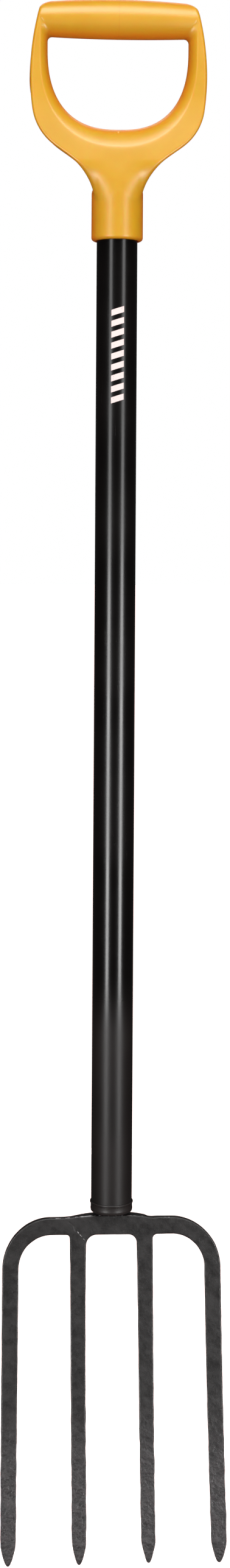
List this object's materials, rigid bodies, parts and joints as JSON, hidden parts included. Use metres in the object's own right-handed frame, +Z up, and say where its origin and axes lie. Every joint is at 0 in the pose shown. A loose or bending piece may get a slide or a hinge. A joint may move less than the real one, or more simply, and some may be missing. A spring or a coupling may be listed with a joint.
{
  "type": "digging fork",
  "caption": "Long-handled digging fork: forged head with parallel forward-swept tines on a steel tube shaft, with a moulded D-shaped hand grip.",
  "frame": {"origin": "middle of the grip bar's axis, where the hand holds it", "axes": "+Z up along the shaft, +X to the right, -Y towards the front, to which the tines sweep"},
  "size_m": [0.1728, 0.0834, 1.1987],
  "materials": {
    "orange_grip": "satin moulded polypropylene",
    "screw_steel": "zinc-plated screw",
    "black_tube": "satin black powder coat",
    "black_cap": "satin black moulded cap",
    "bush_plastic": "natural moulded bush, hidden in the tube",
    "pin_steel": "plain steel pin with painted ends",
    "forged_steel": "dark lacquer over a forged, slightly pitted surface"
  },
  "bodies": {
    "root": {"d_handle": "orange_grip", "handle_screw": "screw_steel", "shaft_tube": "black_tube", "ferrule_cap": "black_cap", "tang_bush_right": "bush_plastic", "tang_bush_left": "bush_plastic", "tang_pin": "pin_steel", "fork_head": "forged_steel"}
  },
  "joints": []
}
